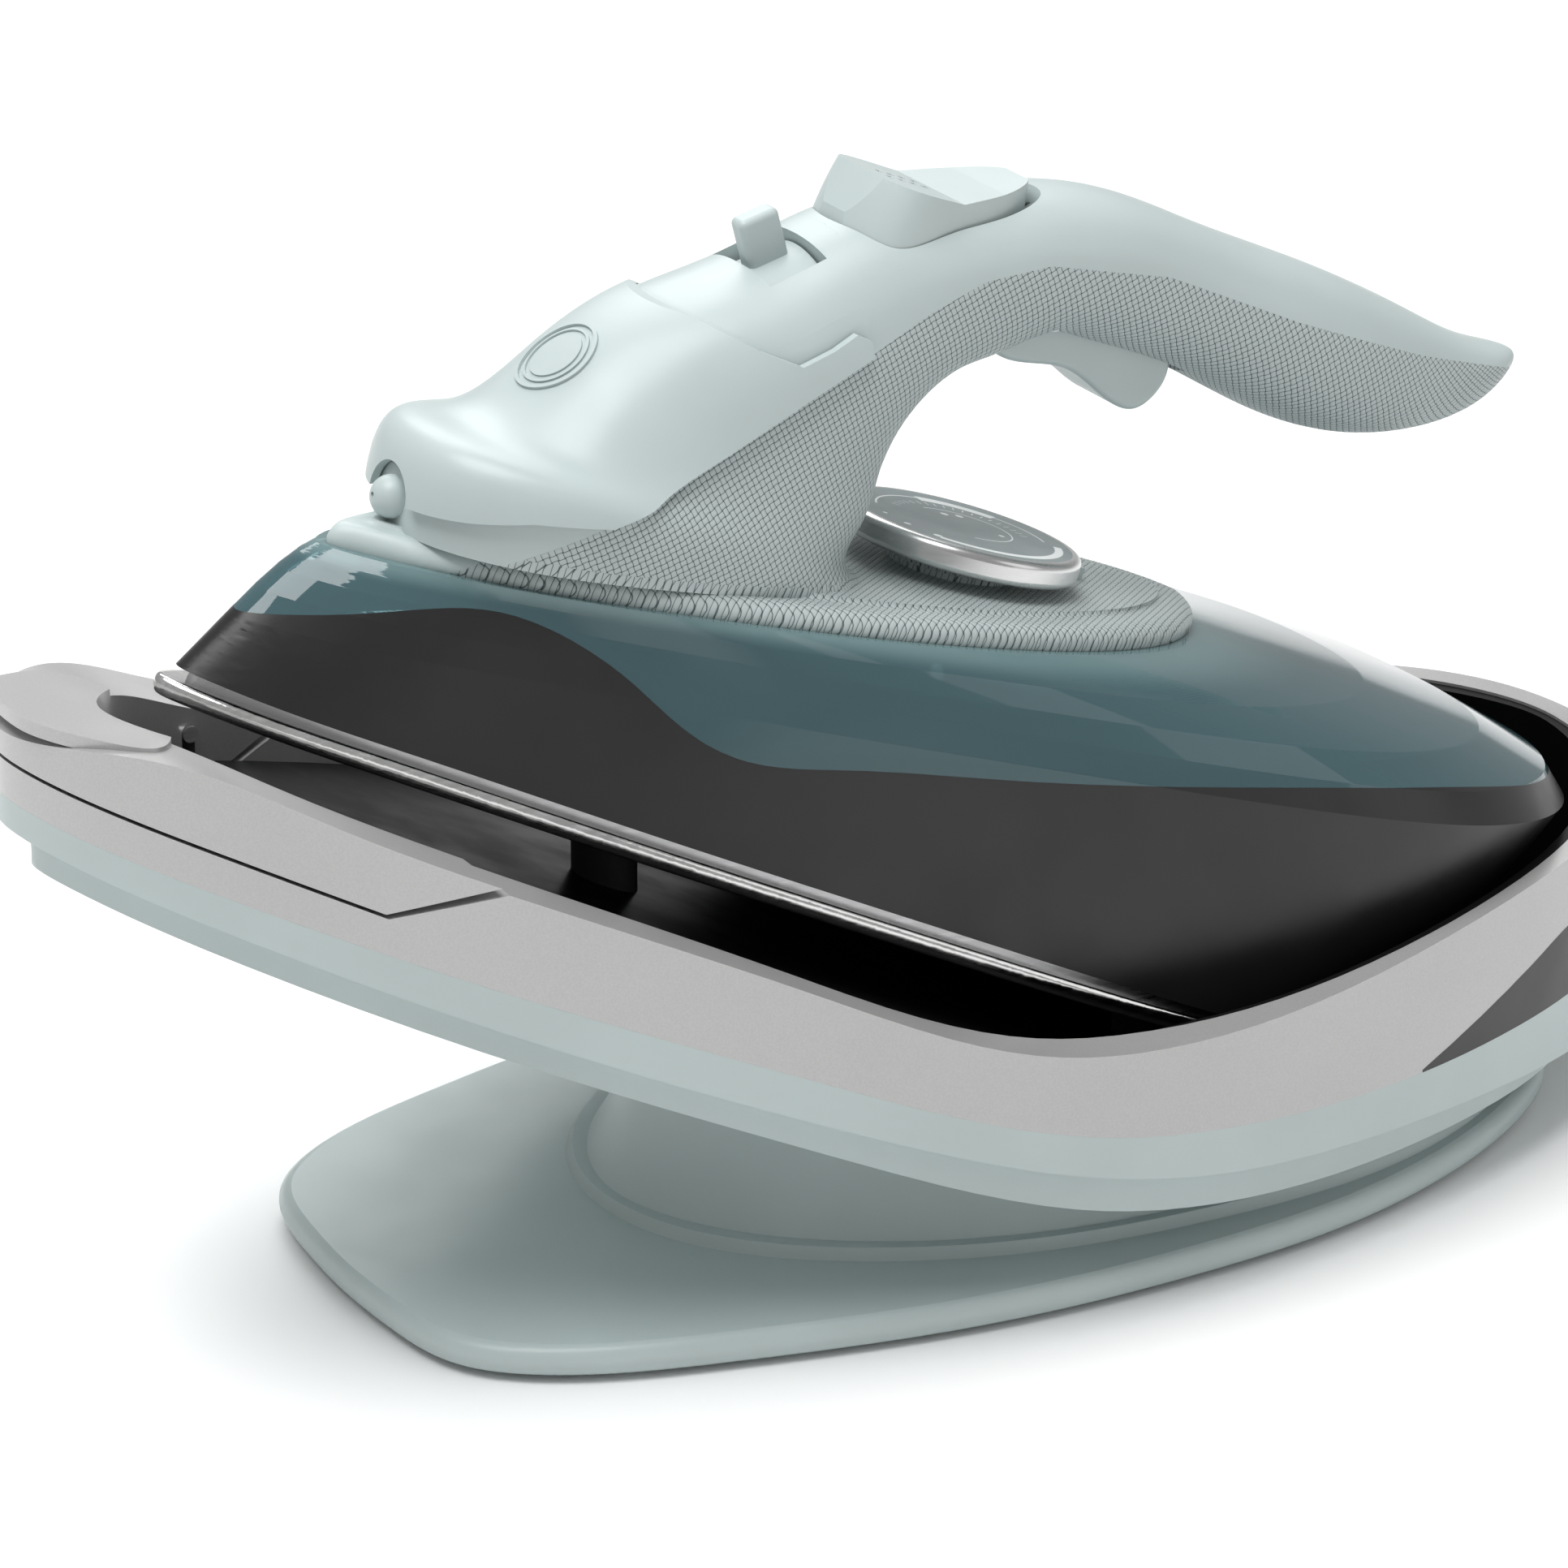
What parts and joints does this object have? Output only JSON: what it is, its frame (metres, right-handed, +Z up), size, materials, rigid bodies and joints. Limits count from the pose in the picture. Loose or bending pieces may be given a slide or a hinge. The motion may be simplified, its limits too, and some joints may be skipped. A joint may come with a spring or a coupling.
{
  "type": "cordless steam iron with charging base",
  "caption": "Cordless steam iron resting nose-up in a tilted charging tray on an oval pedestal and foot plate, with lift-off iron, dial, lid, lever, button and trigger.",
  "frame": {"origin": "centre of the overall footprint, on the table surface", "axes": "+X from the nose towards the heel, +Y to the iron's side, +Z up"},
  "size_m": [0.332, 0.1584, 0.1972],
  "materials": {
    "pale_plastic": "smooth satin moulding, pale grey-green",
    "woven_plastic": "basket-weave texture moulded in, pale grey",
    "tank_plastic": "translucent dark teal, polished",
    "black_plastic": "black satin",
    "silver_plastic": "light silver satin paint",
    "dial_metal": "satin turned ring",
    "dial_print": "grey disc with printed arcs and ticks",
    "sole_metal": "polished edge, satin face",
    "cast_alloy": "as cast",
    "steel": "plain",
    "brass": "plain",
    "rubber": "matt",
    "hose_rubber": "translucent silicone"
  },
  "bodies": {
    "base": {"tray_shell": "pale_plastic", "tray_trim": "silver_plastic", "rear_panel": "black_plastic", "tray_liner": "black_plastic", "lock_pins": "steel", "rest_pads": "rubber", "connector": "black_plastic", "connector_blades": "brass", "pedestal": "pale_plastic", "cord_gland": "rubber", "foot_plate": "pale_plastic", "foot_cover": "black_plastic", "base_screws": "steel", "rubber_feet": "rubber"},
    "iron": {"soleplate": "sole_metal", "heater_casting": "cast_alloy", "heating_element": "steel", "chamber_cover": "cast_alloy", "heat_shield": "steel", "thermostat": "brass", "thermal_fuse": "steel", "skirt": "black_plastic", "contact_block": "black_plastic", "water_tank": "tank_plastic", "tank_seal": "hose_rubber", "grip": "woven_plastic", "handle_cover": "pale_plastic", "lever_housing": "pale_plastic", "spray_nozzle": "pale_plastic", "lever_pin": "steel", "button_spring": "steel", "trigger_pin": "steel", "dial_marker": "pale_plastic", "pump_body": "pale_plastic", "spray_hose": "hose_rubber", "valve_body": "brass", "valve_seat": "brass"},
    "nose_lock": {"lock_lever": "silver_plastic"},
    "dial": {"dial_ring": "dial_metal", "dial_face": "dial_print", "dial_shaft": "steel"},
    "lid": {"filler_lid": "pale_plastic"},
    "steam_control": {"steam_lever": "pale_plastic"},
    "spray_control": {"spray_button": "pale_plastic"},
    "steam_trigger": {"trigger": "pale_plastic"}
  },
  "joints": [
    {"name": "iron_lift", "type": "slide", "parent": "base", "child": "iron", "axis": [0, 0, 1], "range_m": [0, 0.09]},
    {"name": "lock_lift", "type": "slide", "parent": "base", "child": "nose_lock", "axis": [0, 0, 1], "range_m": [0, 0.005]},
    {"name": "dial_turn", "type": "hinge", "parent": "iron", "child": "dial", "pos_m": [0.02229, 0, 0.12113], "axis": [0.309, 0, 0.9511], "range_deg": [-135, 135]},
    {"name": "lid_open", "type": "hinge", "parent": "iron", "child": "lid", "pos_m": [-0.01193, 0, 0.17103], "axis": [0, 1, 0], "range_deg": [0, 32]},
    {"name": "steam_swing", "type": "hinge", "parent": "iron", "child": "steam_control", "pos_m": [-0.01328, 0, 0.17032], "axis": [0.9686, 0, 0.2487], "range_deg": [-14, 14]},
    {"name": "spray_press", "type": "slide", "parent": "iron", "child": "spray_control", "axis": [-0.4226, 0, -0.9063], "range_m": [0, 0.0024], "stiffness_N_per_m": 500, "springref_m": -0.001, "deforming": ["button_spring"]},
    {"name": "trigger_squeeze", "type": "hinge", "parent": "iron", "child": "steam_trigger", "pos_m": [0.03604, 0, 0.16577], "axis": [0, -1, 0], "range_deg": [0, 4], "stiffness_Nm_per_rad": 0.5, "springref_deg": -1.72}
  ]
}
